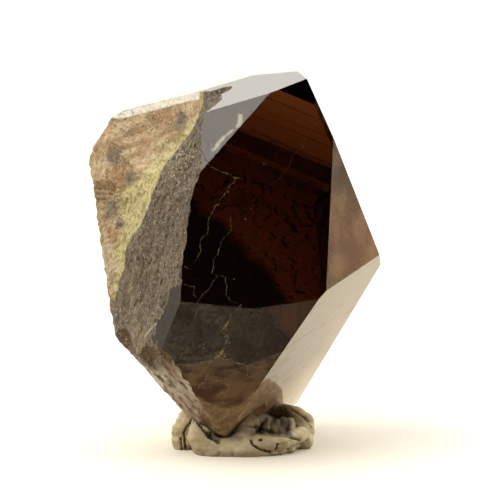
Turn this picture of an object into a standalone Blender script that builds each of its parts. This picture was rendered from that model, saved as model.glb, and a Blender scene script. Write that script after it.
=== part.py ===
"""Smoky quartz crystal, broken down one side, stood point-down in a pressed lump of mineral putty."""
import math

import bmesh
import bpy
from mathutils import Euler, Matrix, Vector, noise

MM = 0.001

# Quartz habit: the six tip faces lean this far from the long axis
TIP_TILT = 51.79

# Tip faces, direction round the long axis and distance from the middle of the crystal in mm
TIP_FACES = {0: 15.2, 60: 17.8, 120: 15.2, 180: 20.7, 240: 17.7, 300: 19.0}

# Prism faces that still stand, direction and distance in mm
PRISM_FACES = {60: 21.0, 120: 21.0, 180: 21.3, 300: 18.4}

# Two steep growth faces under the big front face, tilt, direction, distance
LOWER_RIGHT_FACE = (81.1, 15.8, 21.55)
LOWER_LEFT_FACE = (79.5, 7.8, 21.4)

# Growth ledges across the back prism face, top one first, as distance of the sloping riser
# and distance of the upright face above it
LEDGE_TILT = 66.0
LEDGES = ((15.6, 17.7), (15.0, 19.9))

# The back tip face stands back inside a thin rim along the face at 240 degrees
SUNK_TIP_FACE = 19.6
RIM_FACE = 240
RIM_THICKNESS = 1.3

# Broken sides, tilt, direction, distance, height of the fine roughness, height of the broad waves
FLANK_TOP_BREAK = (80.3, 286.5, 16.5, 0.16, 0.25)
FLANK_LOW_BREAK = (92.0, 292.0, 16.9, 0.16, 0.25)
SHOULDER_BREAK = (78.4, 276.0, 18.85, 0.12, 0.40)
LEFT_TOP_BREAK = (90.3, 241.9, 28.7, 0.20, 0.50)
LEFT_SIDE_BREAK = (138.6, 271.9, 27.85, 0.25, 0.50)
FRONT_LOW_BREAK = (118.3, 339.0, 30.4, 0.25, 0.50)
FOOT_LEFT_BREAK = (138.8, 319.3, 31.1, 0.20, 0.40)
UNDER_BREAK = (160.9, 9.0, 35.2, 0.20, 0.40)
BREAKS = (FLANK_TOP_BREAK, FLANK_LOW_BREAK, SHOULDER_BREAK, LEFT_TOP_BREAK, LEFT_SIDE_BREAK,
          FRONT_LOW_BREAK, FOOT_LEFT_BREAK, UNDER_BREAK)

# The big shell-shaped hollow in the shoulder, middle of its ball and radius in mm
HOLLOW_MIDDLE = (-9.4, -33.4, 10.4)
HOLLOW_RADIUS = 22.5

# The long shell-shaped break that runs from the back down to the foot
REAR_MIDDLE = (-37.9, 2.4, -59.2)
REAR_RADIUS = 50.0

# Smaller shell-shaped chips, tilt and direction from the middle, radius of the shell, depth
CHIPS = (
    (125.0, 254.0, 3.5, 0.5),
    (90.0, 249.0, 6.0, 0.8),
    (60.0, 265.0, 4.5, 0.6),
    (61.0, 227.0, 4.0, 0.5),
    (140.0, 326.0, 4.5, 0.6),
    (127.0, 341.0, 4.5, 0.6),
    (130.0, 356.0, 4.0, 0.6),
    (132.0, 292.0, 4.5, 0.5),
    (141.0, 42.0, 6.0, 1.3),
)

# How the crystal leans on its stand, degrees, and where its middle sits in mm
LEAN = (-26.8, 28.2, -95.8)
CRYSTAL_MIDDLE = (2.723, -3.488, 40.8)
WAVE_LENGTH = 9.0
GRAIN_LENGTH = 1.9
CRYSTAL_FINENESS = 5

# Putty: flat underneath, pressed up round the foot of the crystal, rolls as middle, half size, turn
PUTTY_GAP = 0.3
PUTTY_SPOT = (2.223, -1.488)
PUTTY_LUMPS = (
    ((0.0, 0.0, 1.2), (11.0, 11.6, 3.7), 0.0),
    ((-8.6, -2.4, 2.3), (3.2, 7.4, 3.4), 14.0),
    ((-4.6, -8.0, 1.6), (6.0, 3.8, 3.6), -20.0),
    ((5.2, -8.2, 1.2), (6.0, 3.4, 2.8), 16.0),
    ((8.4, -0.6, 2.0), (3.2, 7.4, 3.4), -10.0),
    ((6.6, 3.4, 2.6), (4.2, 4.4, 3.2), 20.0),
    ((-1.5, 8.2, 2.4), (8.4, 3.8, 3.6), 4.0),
)
PUTTY_RIPPLE = 0.35
PUTTY_FINENESS = 4

QUARTZ_COLOUR = (0.09, 0.045, 0.022, 1.0)
QUARTZ_ROUGHNESS = 0.05
PUTTY_COLOUR = (0.56, 0.50, 0.38, 1.0)
PUTTY_ROUGHNESS = 0.75


def clear_scene():
    for thing in list(bpy.data.objects):
        bpy.data.objects.remove(thing, do_unlink=True)


def add_collection(name):
    group = bpy.data.collections.new(name)
    bpy.context.scene.collection.children.link(group)
    return group


def plain_material(name, colour, roughness):
    material = bpy.data.materials.new(name)
    material.use_nodes = True
    shader = material.node_tree.nodes["Principled BSDF"]
    shader.inputs["Base Color"].default_value = colour
    shader.inputs["Roughness"].default_value = roughness
    return material


def facing(tilt, direction):
    """Unit vector leaning tilt degrees from the long axis, direction degrees round it."""
    lean = math.radians(tilt)
    turn = math.radians(direction)
    return Vector((math.sin(lean) * math.cos(turn), math.sin(lean) * math.sin(turn), math.cos(lean)))


def crystal_planes():
    """Every flat growth face as outward direction and distance."""
    planes = [(facing(TIP_TILT, turn), far) for turn, far in TIP_FACES.items()]
    planes += [(facing(90.0, turn), far) for turn, far in PRISM_FACES.items()]
    planes += [(facing(face[0], face[1]), face[2]) for face in (LOWER_RIGHT_FACE, LOWER_LEFT_FACE)]
    return planes


def broad_wave(point, seed):
    return noise.noise(point / WAVE_LENGTH + Vector((seed * 3.7, seed * 1.3, -seed * 2.1)))


def fine_grain(point, seed):
    return noise.noise(point / GRAIN_LENGTH + Vector((-seed * 1.9, seed * 4.1, seed * 0.7)))


def break_distance(ray, grow):
    """Distance along a ray from the crystal's middle to the nearest broken side."""
    reach = 45.0
    for number, (tilt, direction, far, grain, wave) in enumerate(BREAKS):
        away = facing(tilt, direction)
        lift = ray.dot(away)
        if lift < 0.05:
            continue
        spot = ray * (far / lift)
        rise = wave * broad_wave(spot, number) + grain * fine_grain(spot, number)
        reach = min(reach, (far + rise + grow) / lift)
    return reach


def shell_distance(ray, ball, radius):
    """Distance along a ray to the near side of a ball, far away if the ray misses it."""
    along = ray.dot(ball)
    under = radius * radius - ball.length_squared + along * along
    if along > 0.0 and under > 0.0:
        return along - math.sqrt(under)
    return 45.0


def chip_balls():
    """The balls that hollow out the broken sides, each just biting into the skin."""
    balls = [(Vector(HOLLOW_MIDDLE), HOLLOW_RADIUS), (Vector(REAR_MIDDLE), REAR_RADIUS)]
    for tilt, direction, radius, depth in CHIPS:
        ray = facing(tilt, direction)
        skin = min(break_distance(ray, 0.0), growth_distance(ray), shell_distance(ray, *balls[0]))
        balls.append((ray * (skin + radius - depth), radius))
    return balls


def growth_distance(ray):
    """Distance along a ray to the nearest growth face."""
    return min(far / ray.dot(away) for away, far in crystal_planes() if ray.dot(away) > 0.05)


def rough_lump(grow):
    """Closed lump whose skin follows the broken sides of the crystal, in mm."""
    balls = chip_balls()
    mesh = bmesh.new()
    bmesh.ops.create_icosphere(mesh, subdivisions=CRYSTAL_FINENESS, radius=1.0)
    for vert in mesh.verts:
        ray = vert.co.normalized()
        hollow = min(shell_distance(ray, ball, radius - grow) for ball, radius in balls)
        vert.co = ray * min(break_distance(ray, grow), hollow)
    return mesh


def cleave(mesh, away, far):
    """Cut the lump flat along one growth face and close it."""
    everything = mesh.verts[:] + mesh.edges[:] + mesh.faces[:]
    cut = bmesh.ops.bisect_plane(mesh, geom=everything, dist=1e-5, plane_co=away * far, plane_no=away,
                                 clear_outer=True)
    rim = [item for item in cut["geom_cut"] if isinstance(item, bmesh.types.BMEdge)]
    if rim:
        bmesh.ops.triangle_fill(mesh, use_beauty=True, use_dissolve=False, edges=rim, normal=away)


def crystal_mesh(grow):
    mesh = rough_lump(grow)
    for away, far in crystal_planes():
        cleave(mesh, away, far + grow)
    bmesh.ops.remove_doubles(mesh, verts=mesh.verts, dist=0.01)
    bmesh.ops.dissolve_limit(mesh, angle_limit=math.radians(0.4), verts=mesh.verts, edges=mesh.edges)
    bmesh.ops.triangulate(mesh, faces=mesh.faces)
    bmesh.ops.recalc_face_normals(mesh, faces=mesh.faces)
    return mesh


def back_cuts():
    """The flat faces that bound each cut in the back of the crystal."""
    cuts = [[(facing(LEDGE_TILT, 180.0), riser_far), (facing(90.0, 180.0), face_far)]
            for riser_far, face_far in LEDGES]
    return cuts + [[(facing(TIP_TILT, 180.0), SUNK_TIP_FACE)]]


def ledge_wedge(planes):
    """Everything outside the given faces, except the thin rim."""
    mesh = bmesh.new()
    bmesh.ops.create_cube(mesh, size=120.0)
    for away, far in planes:
        cleave(mesh, -away, -far)
    cleave(mesh, facing(TIP_TILT, RIM_FACE), TIP_FACES[RIM_FACE] - RIM_THICKNESS)
    bmesh.ops.triangulate(mesh, faces=mesh.faces)
    bmesh.ops.recalc_face_normals(mesh, faces=mesh.faces)
    mesh.transform(stand_transform())
    return mesh


def stand_transform():
    turn = Euler([math.radians(angle) for angle in LEAN], "XYZ").to_matrix().to_4x4()
    return Matrix.Scale(MM, 4) @ Matrix.Translation(Vector(CRYSTAL_MIDDLE)) @ turn


def add_object(name, mesh, material, group):
    data = bpy.data.meshes.new(name)
    mesh.to_mesh(data)
    mesh.free()
    thing = bpy.data.objects.new(name, data)
    if material:
        data.materials.append(material)
    group.objects.link(thing)
    return thing


def add_crystal(name, grow, material, group):
    mesh = crystal_mesh(grow)
    mesh.transform(stand_transform())
    return add_object(name, mesh, material, group)


def putty_lump(middle, size, turn, seed):
    """One pressed roll of putty, a squashed ball with a slightly kneaded skin."""
    mesh = bmesh.new()
    bmesh.ops.create_icosphere(mesh, subdivisions=PUTTY_FINENESS, radius=1.0)
    for vert in mesh.verts:
        ray = vert.co.normalized()
        dent = noise.noise(ray * 2.2 + Vector((seed, -seed * 2.3, seed * 1.7)))
        vert.co = Vector((ray.x * size[0], ray.y * size[1], ray.z * size[2])) + ray * dent * PUTTY_RIPPLE
    spot = Vector(middle) + Vector((PUTTY_SPOT[0], PUTTY_SPOT[1], 0.0))
    place = Matrix.Translation(spot) @ Matrix.Rotation(math.radians(turn), 4, "Z")
    mesh.transform(Matrix.Scale(MM, 4) @ place)
    return mesh


def boolean(thing, other, operation):
    modifier = thing.modifiers.new("join", "BOOLEAN")
    modifier.operation = operation
    modifier.solver = "EXACT"
    modifier.object = other
    bpy.context.view_layer.update()
    done = bpy.data.meshes.new_from_object(thing.evaluated_get(bpy.context.evaluated_depsgraph_get()))
    thing.modifiers.clear()
    thing.data = done


def flatten_underside(thing):
    mesh = bmesh.new()
    mesh.from_mesh(thing.data)
    everything = mesh.verts[:] + mesh.edges[:] + mesh.faces[:]
    cut = bmesh.ops.bisect_plane(mesh, geom=everything, dist=1e-8, plane_co=(0, 0, 0), plane_no=(0, 0, -1),
                                 clear_outer=True)
    rim = [item for item in cut["geom_cut"] if isinstance(item, bmesh.types.BMEdge)]
    bmesh.ops.triangle_fill(mesh, use_beauty=True, use_dissolve=False, edges=rim, normal=(0, 0, -1))
    bmesh.ops.remove_doubles(mesh, verts=mesh.verts, dist=0.000002)
    bmesh.ops.dissolve_limit(mesh, angle_limit=math.radians(0.5), verts=mesh.verts, edges=mesh.edges)
    bmesh.ops.triangulate(mesh, faces=mesh.faces)
    bmesh.ops.recalc_face_normals(mesh, faces=mesh.faces)
    mesh.to_mesh(thing.data)
    mesh.free()


def cut_ledges(crystal, spare):
    for planes in back_cuts():
        wedge = add_object("ledge_wedge", ledge_wedge(planes), None, spare)
        boolean(crystal, wedge, "DIFFERENCE")
    mesh = bmesh.new()
    mesh.from_mesh(crystal.data)
    bmesh.ops.remove_doubles(mesh, verts=mesh.verts, dist=0.000002)
    bmesh.ops.triangulate(mesh, faces=mesh.faces)
    bmesh.ops.recalc_face_normals(mesh, faces=mesh.faces)
    mesh.to_mesh(crystal.data)
    mesh.free()
    crystal.data.name = "quartz_crystal"


def add_putty(material, group, spare):
    rolls = []
    for number, (middle, size, turn) in enumerate(PUTTY_LUMPS):
        rolls.append(add_object("putty_roll", putty_lump(middle, size, turn, number), material, spare))
    lump = rolls[0]
    for roll in rolls[1:]:
        boolean(lump, roll, "UNION")
    pocket = add_crystal("foot_pocket", PUTTY_GAP, material, spare)
    boolean(lump, pocket, "DIFFERENCE")
    flatten_underside(lump)
    spare.objects.unlink(lump)
    group.objects.link(lump)
    lump.name = "putty_base"
    lump.data.name = "putty_base"
    lump.data.materials.clear()
    lump.data.materials.append(material)
    return lump


def hide_spares(spare):
    for thing in spare.objects:
        thing.hide_render = True
        thing.display_type = "WIRE"


def build():
    clear_scene()
    group = add_collection("smoky_quartz_on_putty")
    spare = add_collection("cutters")
    quartz = plain_material("smoky_quartz", QUARTZ_COLOUR, QUARTZ_ROUGHNESS)
    putty = plain_material("mineral_putty", PUTTY_COLOUR, PUTTY_ROUGHNESS)
    crystal = add_crystal("quartz_crystal", 0.0, quartz, group)
    cut_ledges(crystal, spare)
    add_putty(putty, group, spare)
    hide_spares(spare)


build()
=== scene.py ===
"""Smoky quartz crystal on a pressed lump of mineral putty: fine surfaces, glass, stains, stage and light."""
import math
from types import SimpleNamespace

import bmesh
import bpy
import numpy as np
from mathutils import Euler, Matrix, Vector


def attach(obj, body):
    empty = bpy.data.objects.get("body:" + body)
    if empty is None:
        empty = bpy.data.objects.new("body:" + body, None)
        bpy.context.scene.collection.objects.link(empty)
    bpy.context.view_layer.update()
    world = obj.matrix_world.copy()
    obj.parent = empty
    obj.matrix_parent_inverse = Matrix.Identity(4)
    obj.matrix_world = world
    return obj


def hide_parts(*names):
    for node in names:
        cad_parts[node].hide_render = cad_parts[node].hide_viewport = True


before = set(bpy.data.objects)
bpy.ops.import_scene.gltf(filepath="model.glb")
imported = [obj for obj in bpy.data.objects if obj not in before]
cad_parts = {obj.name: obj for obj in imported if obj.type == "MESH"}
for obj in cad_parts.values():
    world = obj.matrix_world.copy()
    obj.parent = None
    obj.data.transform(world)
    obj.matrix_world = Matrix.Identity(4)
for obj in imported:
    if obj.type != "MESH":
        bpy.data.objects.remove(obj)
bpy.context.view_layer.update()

MM = 0.001

# Growth faces of the crystal, in mm from its middle
TIP_TILT = 51.79
TIP_FACES = {0: 15.2, 60: 17.8, 120: 15.2, 180: 20.7, 240: 17.7, 300: 19.0}
PRISM_FACES = {60: 21.0, 120: 21.0, 180: 21.3, 300: 18.4}
LOWER_RIGHT_FACE = (81.1, 15.8, 21.55)
LOWER_LEFT_FACE = (79.5, 7.8, 21.4)
EDGE_WEAR = 0.05
OUT_OF_REACH = 45.0

# Growth ledges on the back prism face, as distance of the riser and of the upright face above it
LEDGE_TILT = 66.0
LEDGES = ((18.9, 17.52), (17.85, 17.60), (17.2, 17.64), (15.6, 17.7), (15.0, 19.9))

# The back tip face stands back inside a thin rim along the face at 240 degrees
SUNK_TIP_FACE = 19.6
RIM_FACE = 240
RIM_THICKNESS = 1.3

# Broken sides: tilt, direction, distance, fine roughness, broad waves
FLANK_TOP_BREAK = (80.3, 286.5, 16.5, 0.16, 0.25)
FLANK_LOW_BREAK = (92.0, 292.0, 16.55, 0.16, 0.25)
SHOULDER_BREAK = (78.4, 276.0, 18.85, 0.12, 0.40)
LEFT_TOP_BREAK = (90.3, 241.9, 28.7, 0.20, 0.50)
LEFT_SIDE_BREAK = (138.6, 271.9, 27.85, 0.25, 0.50)
FRONT_LOW_BREAK = (118.3, 339.0, 30.4, 0.25, 0.50)
FOOT_LEFT_BREAK = (138.8, 319.3, 31.1, 0.20, 0.40)
UNDER_BREAK = (160.9, 9.0, 35.2, 0.20, 0.40)
BREAKS = (FLANK_TOP_BREAK, FLANK_LOW_BREAK, SHOULDER_BREAK, LEFT_TOP_BREAK, LEFT_SIDE_BREAK,
          FRONT_LOW_BREAK, FOOT_LEFT_BREAK, UNDER_BREAK)

# Shell-shaped breaks are the near sides of balls, by middle and radius
HOLLOW_MIDDLE = (-9.4, -33.4, 10.4)
HOLLOW_RADIUS = 22.5
REAR_MIDDLE = (-37.9, 2.4, -59.2)
REAR_RADIUS = 50.0

# Small chips: tilt, direction, radius, depth
CHIPS = (
    (125.0, 254.0, 3.5, 0.5),
    (90.0, 249.0, 6.0, 0.8),
    (60.0, 265.0, 4.5, 0.6),
    (61.0, 227.0, 4.0, 0.5),
    (140.0, 326.0, 4.5, 0.6),
    (127.0, 341.0, 4.5, 0.6),
    (130.0, 356.0, 4.0, 0.6),
    (132.0, 292.0, 4.5, 0.5),
    (141.0, 42.0, 6.0, 1.3),
)

# How the crystal stands
LEAN = (-26.8, 28.2, -95.8)
CRYSTAL_MIDDLE = (2.723, -3.488, 40.8)

# Putty: its spot on the floor, then two flat balls as middle and half sizes
PUTTY_SPOT = (2.223, -1.488)
PUTTY_FLOOR = ((-0.4, 0.5, 0.8), (10.3, 10.2, 2.0))
PUTTY_PAD = ((-2.2, 3.0, 2.0), (7.5, 7.0, 3.4))
PUTTY_FINENESS = 0.2

# Rolls as points along each one with their radius, the left wall first, then the front, the lip, the right rim,
# the folds in the grooved hollow, the back and some small lumps
PUTTY_ROLLS = (
    ((-7.2, -1.5, 4.9, 1.8), (-9.7, -2.6, 4.3, 1.9), (-10.7, -3.4, 2.7, 1.9), (-10.6, -3.6, 0.9, 2.0)),
    ((-8.0, -5.9, 4.9, 1.2), (-7.9, -6.8, 4.1, 1.8), (-7.6, -7.5, 2.8, 2.4), (-6.9, -7.9, 1.4, 2.4),
     (-5.3, -8.3, 0.6, 2.1)),
    ((-3.6, -8.7, 0.9, 2.0), (-1.4, -8.9, 1.0, 2.1), (0.4, -8.9, 1.1, 2.1), (1.8, -8.6, 1.0, 2.0),
     (3.6, -8.2, 0.9, 1.7), (5.4, -7.3, 0.8, 1.3)),
    ((-1.1, -8.2, 2.3, 1.6), (-0.5, -6.9, 3.5, 1.6), (0.3, -5.1, 4.4, 1.5)),
    ((1.5, -9.2, 2.5, 1.1), (3.4, -9.5, 2.3, 1.3), (5.5, -8.9, 2.2, 1.3), (7.5, -6.9, 2.4, 1.2),
     (8.9, -4.3, 2.6, 1.2)),
    ((5.3, 5.0, 4.1, 1.8), (7.7, 2.5, 4.3, 1.7), (9.2, -0.3, 3.6, 1.5), (9.6, -2.1, 2.4, 1.5), (9.3, -3.2, 1.2, 1.5)),
    ((2.5, -4.9, 1.9, 0.8), (2.9, -3.4, 2.9, 0.8), (3.3, -1.5, 4.0, 0.8)),
    ((4.0, -5.1, 1.8, 0.7), (4.5, -1.9, 3.8, 0.8)),
    ((5.6, -4.7, 1.9, 0.8), (5.3, -3.0, 2.8, 0.7), (5.8, -1.1, 4.1, 0.8)),
    ((7.2, -3.9, 2.0, 0.8), (6.9, -0.5, 3.9, 0.8)),
    ((-7.2, -1.5, 4.9, 1.8), (-9.4, 0.5, 3.6, 2.3), (-9.2, 3.0, 3.0, 2.5), (-7.2, 7.3, 3.0, 2.5),
     (-1.7, 9.4, 3.2, 2.5), (3.3, 8.1, 3.6, 2.3), (5.3, 5.0, 4.1, 1.8)),
    ((5.3, -8.4, 0.8, 0.9),),
    ((6.9, -7.1, 0.8, 0.9),),
    ((4.1, -9.2, 0.6, 0.7),),
)

# Cracks and pits in the putty on the stand view's sheet: points, half width, depth
PUTTY_CRACKS = (
    (((-7.0, 3.6), (-8.1, 2.3), (-8.7, 1.2), (-8.6, 0.3), (-8.4, -0.8), (-8.3, -2.0)), 0.22, 0.9),
    (((-9.3, 0.2), (-9.2, -1.0), (-9.0, -1.9)), 0.18, 0.6),
    (((-6.3, 3.2), (-5.2, 1.8), (-4.0, 0.8), (-3.2, 0.0)), 0.40, 1.2),
    (((-4.3, 1.1), (-3.4, 0.7)), 0.75, 1.4),
    (((2.1, 0.1), (2.7, -0.7), (3.5, -1.3), (4.4, -1.6), (5.3, -1.8)), 0.20, 1.1),
    (((3.6, 0.1), (3.8, 0.2)), 0.22, 0.9),
    (((1.5, 2.6), (3.6, 1.8), (6.0, 1.0), (8.0, 0.7), (10.0, 0.0)), 0.20, 0.5),
    (((8.8, 4.9), (10.8, 3.7), (11.6, 3.0)), 0.16, 0.5),
    (((11.6, 2.7), (12.1, 2.2)), 0.12, 0.6),
    (((6.5, -0.6), (6.2, -1.5)), 0.15, 0.5),
)

# Lines on the surfaces, as across and up in mm on a sheet square to the stand view, listed downwards
HOLLOW_RIM = ((-5.5, 54.9), (-6.6, 52.1), (-7.3, 50.4), (-9.7, 47.5), (-11.9, 44.5), (-13.0, 41.7), (-13.7, 40.2),
              (-14.1, 38.6), (-15.7, 34.9), (-17.3, 33.1), (-18.3, 30.6), (-18.4, 28.1), (-19.2, 25.8), (-19.5, 24.2),
              (-20.0, 23.0))
LEFT_OUTLINE = ((-18.9, 52.6), (-20.6, 51.1), (-22.7, 48.0), (-23.7, 45.7), (-23.3, 43.4), (-22.0, 39.6),
                (-22.6, 37.1), (-22.2, 34.6), (-21.6, 29.1), (-20.6, 25.4), (-20.2, 22.4))
TOP_FACE_BORDER = ((-18.9, 52.5), (-8.4, 55.1), (-3.0, 56.1))
CHUNK_BORDER = ((2.6, 8.6), (5.0, 10.2), (6.3, 9.5), (7.3, 8.2), (7.6, 4.8))
FOOT_BORDER = ((-8.4, 8.6), (-6.8, 7.4), (-4.6, 6.2), (-2.8, 5.5), (0.4, 5.9), (2.0, 7.4), (3.9, 9.3))
LIP = ((-6.8, 12.6), (-4.4, 13.2), (-3.7, 13.5), (-2.0, 13.6), (-0.4, 12.9), (1.6, 12.4), (3.4, 13.0), (5.2, 13.8),
       (7.3, 14.6))

# Stains in the hollow: kind, across, up, half width, half height
STAINS = (
    ("rust", -12.3, 52.2, 1.9, 1.7), ("rust", -16.8, 50.6, 1.6, 1.2), ("rust", -15.3, 47.4, 1.0, 2.2),
    ("rust", -20.0, 42.0, 1.3, 2.6), ("rust", -19.6, 33.6, 1.5, 1.3),
    ("grey", -9.3, 51.8, 1.3, 2.0), ("grey", -20.4, 46.4, 1.4, 1.6), ("grey", -17.4, 42.6, 1.5, 1.4),
    ("grey", -20.6, 37.6, 1.4, 2.2), ("grey", -16.0, 39.2, 0.8, 1.6), ("grey", -18.6, 35.0, 0.9, 1.3),
    ("soot", -15.9, 36.9, 1.1, 0.9), ("soot", -17.8, 38.0, 1.3, 0.9), ("soot", -18.2, 32.9, 0.9, 1.3),
    ("soot", -17.6, 35.2, 0.9, 0.7),
    ("soot", -9.0, 44.9, 0.8, 1.4),
    ("pale", -14.4, 46.6, 0.5, 0.7), ("pale", -16.4, 49.4, 0.6, 0.8), ("pale", -18.4, 51.4, 1.2, 0.7),
    ("pale", -12.8, 48.2, 0.5, 0.9), ("pale", -22.0, 45.2, 0.7, 1.0), ("pale", -21.0, 39.8, 0.8, 0.8),
    ("pale", -21.0, 29.5, 1.6, 3.4), ("pale", -19.6, 25.0, 1.2, 1.6),
)

# Width of the yellow film by height
FILM_WIDTHS = ((54.9, 0.7), (52.0, 1.2), (49.5, 1.8), (47.5, 3.4), (44.5, 3.0), (42.5, 3.6), (40.2, 5.6),
               (37.5, 5.0), (34.9, 3.2), (32.5, 2.4), (30.0, 1.8), (27.0, 0.9), (23.0, 0.3))
STAIN_STRENGTHS = {"soot": 0.9, "grey": 0.75, "rust": 0.6, "pale": 0.6}
STAIN_TONES = {"rust": (0.36, 0.19, 0.075), "grey": (0.150, 0.115, 0.085), "soot": (0.030, 0.022, 0.016),
               "pale": (0.56, 0.47, 0.32)}

# Cracks and their fillings, as lines and corners on the same sheet
BIG_FACE_CRACKS = (
    ((-4.3, 44.1), (-1.7, 43.3), (-1.7, 42.9), (0.9, 42.1)),
    ((-0.2, 42.5), (-1.3, 41.2), (-1.7, 40.0), (-3.1, 38.3), (-3.7, 37.5), (-4.3, 36.1), (-4.7, 33.7), (-5.7, 32.4),
     (-6.1, 30.7), (-6.8, 29.0)),
    ((-0.9, 36.4), (-0.9, 34.2), (-2.6, 32.1), (-3.0, 30.3), (-4.1, 29.2), (-4.1, 27.3), (-1.9, 26.6), (-1.8, 23.7),
     (-1.3, 22.9), (0.7, 22.2)),
    ((-3.0, 26.8), (-4.4, 24.9), (-6.1, 23.3), (-6.6, 21.7)),
    ((-8.5, 28.2), (-7.7, 27.9)),
    ((-8.7, 25.5), (-7.0, 24.9), (-7.25, 23.8), (-6.45, 23.2)),
)
FAINT_CRACKS = (
    ((12.9, 51.7), (11.9, 50.5), (10.2, 47.6), (9.2, 46.6), (8.0, 44.1), (6.5, 42.0), (5.1, 41.3)),
)
LOWER_FACE_CRACKS = (
    ((0.7, 22.2), (-1.1, 20.2), (-1.8, 19.0), (-1.5, 17.5), (-1.2, 16.2), (-2.0, 15.1)),
    ((-6.45, 21.6), (-6.8, 20.6), (-7.2, 19.8)),
    ((-6.1, 12.8), (-4.4, 13.2), (-3.7, 13.5), (-2.0, 13.6), (-0.4, 12.9), (1.6, 12.4), (2.7, 12.55)),
    ((0.9, 13.7), (1.4, 12.7), (1.55, 11.0), (1.1, 9.2)),
    ((-4.6, 11.0), (-5.5, 9.7), (-6.8, 8.4)),
    ((-1.3, 9.5), (-2.3, 8.2), (-3.2, 7.3)),
)
FILLINGS = (
    ("lower_left", "yellow", ((-1.2, 19.9), (-3.3, 17.2), (-1.7, 18.6))),
    ("lower_left", "yellow", ((-2.1, 15.3), (-3.8, 13.5), (-1.8, 13.7))),
    ("lower_left", "grey", ((-2.3, 17.6), (-1.4, 17.3), (-1.1, 15.8), (-2.0, 15.7))),
    ("lower_left", "grey", ((-6.3, 15.4), (-4.9, 16.2), (-5.2, 15.0))),
)
FILLING_TONES = {"yellow": (0.50, 0.42, 0.15), "grey": (0.20, 0.18, 0.15)}
CRACK_LIFT, CRACK_DEPTH = 0.012, 0.09
FILLING_LIFT, FILLING_DEPTH = 0.02, 0.2

# White chips on the flank: across, up, reach
FLANK_CHIPS = ((-8.8, 27.0, 0.45), (-9.2, 24.5, 0.35), (-8.2, 26.4, 0.3), (-12.0, 19.4, 0.5), (-11.4, 21.2, 0.35))
FLANK_CRACK = ((-15.0, 17.0), (-13.6, 18.6), (-12.9, 19.2), (-12.2, 20.0), (-11.6, 21.2))
DARK_CRACKS = (
    ("right_face", ((12.6, 18.3), (10.0, 16.5), (7.3, 14.6))),
    ("left_tip_face", ((-6.0, 47.3), (-4.6, 44.6))),
)
FROST_LINES = (
    ((0.4, 52.6), (0.3, 51.6), (0.0, 50.6)),
    ((-0.8, 50.1), (-2.1, 49.0), (-3.2, 47.6), (-4.1, 46.5)),
)

# Camera and stage
VIEW_RISE = 10.0
RISE = math.radians(VIEW_RISE)
VIEW_DISTANCE = 1040.0
PHOTO_MIDDLE = (2.549, -19.63, 35.418)
SHEET_MIDDLE = (0.523, 3.012, 0.0)
LENS = 468.0
SENSOR = 36.0

# Quartz: what it soaks up per metre in red, green and blue
SOAK = (118.0, 172.0, 236.0)
SOAK_SCALE = 260.0
QUARTZ_IOR = 1.544


# Numbers and noise

def hashed(cell, seed):
    """Repeatable number from 0 to 1 for each whole-number cell."""
    x, y, z = (cell[..., k].astype(np.int64) for k in range(3))
    mixed = (x * 73856093) ^ (y * 19349663) ^ (z * 83492791) ^ (seed * 2654435761)
    mixed = ((mixed ^ (mixed >> 13)) * 1274126177) & 0x7FFFFFFF
    mixed = ((mixed ^ (mixed >> 11)) * 668265263) & 0x7FFFFFFF
    return ((mixed ^ (mixed >> 15)) & 0xFFFF) / 65535.0


def waves(points, size, seed):
    """Smooth noise from -1 to 1 with features of about that size."""
    spot = points / size + seed * 17.3
    cell = np.floor(spot)
    part = spot - cell
    ease = part * part * (3.0 - 2.0 * part)
    total = np.zeros(len(points))
    for corner in np.ndindex(2, 2, 2):
        step = np.array(corner, dtype=float)
        weight = np.prod(np.where(step > 0.5, ease, 1.0 - ease), axis=1)
        total += weight * hashed(cell + step, seed)
    return total * 2.0 - 1.0


def splinters(points, size, seed, slope):
    """Height of a skin of small flat facets, each tilted its own way."""
    spot = points / size
    cell = np.floor(spot)
    best = np.full(len(points), 1e9)
    height = np.zeros(len(points))
    for step in np.ndindex(3, 3, 3):
        near = cell + np.array(step, dtype=float) - 1.0
        shift = np.stack([hashed(near, seed + k) for k in range(3)], axis=1)
        away = spot - near - shift
        far = (away * away).sum(axis=1)
        tilt = np.stack([hashed(near, seed + 5 + k) for k in range(3)], axis=1) * 2.0 - 1.0
        rise = (away * tilt).sum(axis=1) * slope + hashed(near, seed + 9) - 0.5
        closer = far < best
        best = np.where(closer, far, best)
        height = np.where(closer, rise, height)
    return height * size


# Crystal

def facing(tilt, direction):
    lean = math.radians(tilt)
    turn = math.radians(direction)
    return Vector((math.sin(lean) * math.cos(turn), math.sin(lean) * math.sin(turn), math.cos(lean)))


def growth_planes():
    planes = [(facing(TIP_TILT, turn), far) for turn, far in TIP_FACES.items()]
    planes += [(facing(90.0, turn), far) for turn, far in PRISM_FACES.items()]
    planes += [(facing(face[0], face[1]), face[2]) for face in (LOWER_RIGHT_FACE, LOWER_LEFT_FACE)]
    return planes


def stand_transform():
    turn = Euler([math.radians(angle) for angle in LEAN], "XYZ").to_matrix().to_4x4()
    return Matrix.Scale(MM, 4) @ Matrix.Translation(Vector(CRYSTAL_MIDDLE)) @ turn


def stand_turn():
    """The crystal's turn as an array that acts in mm."""
    return np.array(stand_transform().to_3x3()) / MM


def sheet_place(places):
    """Across and up of points in stand coordinates."""
    near = places - np.array(SHEET_MIDDLE)
    return near[:, 0], near[:, 1] * math.sin(RISE) + near[:, 2] * math.cos(RISE)


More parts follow.
